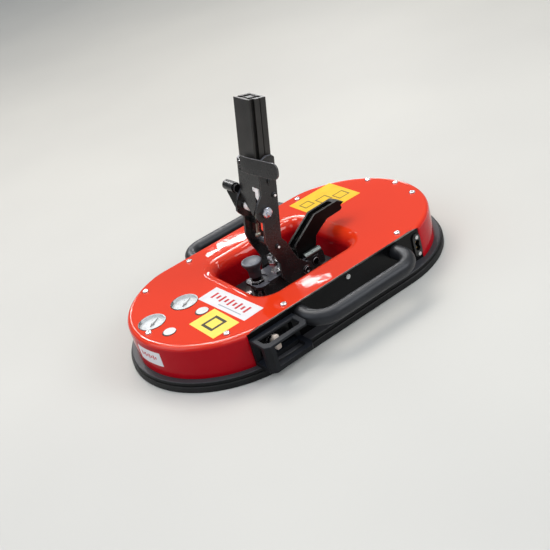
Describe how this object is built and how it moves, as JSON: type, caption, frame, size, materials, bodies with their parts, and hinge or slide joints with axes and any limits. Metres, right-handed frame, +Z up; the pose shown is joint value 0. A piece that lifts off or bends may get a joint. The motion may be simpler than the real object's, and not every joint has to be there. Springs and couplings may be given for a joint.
{
  "type": "battery suction lifter",
  "caption": "Long vacuum suction head with side handles, gauges and a swivelling, tilting mast for lifting glass and panels.",
  "frame": {"origin": "centre of the bounding box at the plane the seal stands on", "axes": "+X along the long head, towards the end without gauges; +Z up from the glass; the switch guard is on the -Y side"},
  "size_m": [0.52, 0.37, 0.3053],
  "materials": {
    "seal_rubber": "matte",
    "rim_black": "satin",
    "cover_red": "gloss",
    "panel_black": "gloss",
    "handle_black": "satin",
    "black_steel": "satin",
    "zinc_steel": "bright",
    "mast_black": "anodised",
    "gauge_white": "matte",
    "gauge_black": "satin",
    "lens_clear": "clear",
    "light_white": "gloss",
    "label_film": "matte",
    "knob_grey": "satin",
    "black_plastic": "satin",
    "paddle_cream": "satin",
    "pin_brass": "bright",
    "pump_alloy": "satin",
    "battery_grey": "matte",
    "board_green": "satin"
  },
  "bodies": {
    "head": {"suction_seal": "seal_rubber", "base_plate": "rim_black", "cover": "cover_red", "cover_posts": "pump_alloy", "cover_screws": "zinc_steel", "gauge_cases": "gauge_black", "gauge_dials": "gauge_white", "gauge_lenses": "lens_clear", "signal_lights": "light_white", "labels": "label_film", "front_panel": "panel_black", "rear_panel": "panel_black", "front_handle": "handle_black", "rear_handle": "handle_black", "backing_bars": "pump_alloy", "handle_screws": "zinc_steel", "panel_screws": "zinc_steel", "charge_inlet": "black_plastic", "inlet_pins": "pin_brass", "inlet_screws": "zinc_steel", "switch_guard": "rim_black", "toggle_body": "zinc_steel", "battery_pack": "battery_grey", "vacuum_pump": "pump_alloy", "release_valve": "black_plastic", "vacuum_hoses": "seal_rubber", "control_board": "board_green", "swivel_base": "black_steel", "ring_bolts": "zinc_steel", "swivel_nut": "zinc_steel"},
    "swivel": {"turntable": "black_steel", "pivot_bracket": "black_steel", "plunger_body": "zinc_steel", "stop_bolt": "zinc_steel", "stop_nuts": "zinc_steel", "lever_pin": "zinc_steel"},
    "plunger": {"plunger_knob": "knob_grey", "plunger_pin": "zinc_steel"},
    "arm": {"front_arm_plate": "black_steel", "rear_arm_plate": "black_steel", "mast": "mast_black", "mast_shims": "zinc_steel", "cross_bolts": "zinc_steel", "stop_bar": "black_steel", "mast_web": "black_steel", "latch_pin": "zinc_steel", "rod_guide": "black_plastic", "tilt_axle": "zinc_steel", "brake_drum": "zinc_steel", "axle_screws": "zinc_steel"},
    "release": {"release_shaft": "zinc_steel", "release_crank": "black_steel", "release_grip": "black_plastic", "release_nut": "zinc_steel"},
    "rod": {"pull_rod": "zinc_steel"},
    "latch": {"latch_strap": "black_steel"},
    "lever": {"tilt_lever": "black_steel"},
    "toggle": {"toggle_lever": "paddle_cream"},
    "needle_a": {"gauge_needle_a": "gauge_black"},
    "needle_b": {"gauge_needle_b": "gauge_black"}
  },
  "joints": [
    {"name": "swivel_turn", "type": "hinge", "parent": "head", "child": "swivel", "pos_m": [0, 0, 0.0225], "axis": [0, 0, 1], "continuous": true},
    {"name": "plunger_slide", "type": "slide", "parent": "swivel", "child": "plunger", "axis": [0, 0, 1], "range_m": [-0.0065, 0]},
    {"name": "mast_tilt", "type": "hinge", "parent": "swivel", "child": "arm", "pos_m": [0.0205, 0, 0.0352], "axis": [0, 1, 0], "range_deg": [-12, 60]},
    {"name": "release_turn", "type": "hinge", "parent": "arm", "child": "release", "pos_m": [-0.01781, 0, 0.15028], "axis": [0, -1, 0], "range_deg": [0, 20], "stiffness_Nm_per_rad": 0.5, "springref_deg": -8.59},
    {"name": "rod_lift", "type": "slide", "parent": "arm", "child": "rod", "axis": [0.2079, 0, 0.9781], "range_m": [0, 0.00402]},
    {"name": "latch_swing", "type": "hinge", "parent": "arm", "child": "latch", "pos_m": [-0.01452, 0.0115, 0.21388], "axis": [-0.2079, 0, -0.9781], "range_deg": [0, 70]},
    {"name": "lever_press", "type": "hinge", "parent": "swivel", "child": "lever", "pos_m": [0.043, 0, 0.035], "axis": [0, 1, 0], "range_deg": [0, 9], "stiffness_Nm_per_rad": 1.5, "springref_deg": -11.46},
    {"name": "toggle_flip", "type": "hinge", "parent": "head", "child": "toggle", "pos_m": [-0.122, -0.131, 0.0385], "axis": [1, 0, 0], "range_deg": [-10, 10]},
    {"name": "needle_a_turn", "type": "hinge", "parent": "head", "child": "needle_a", "pos_m": [-0.2147, 0.0188, 0.0615], "axis": [0, 0, 1], "range_deg": [-35, 235]},
    {"name": "needle_b_turn", "type": "hinge", "parent": "head", "child": "needle_b", "pos_m": [-0.1585, 0.021, 0.0615], "axis": [0, 0, 1], "range_deg": [-35, 235]}
  ],
  "couplings": [
    {"joint": "rod_lift", "follows": "release_turn", "m_per_rad": 0.0115}
  ]
}
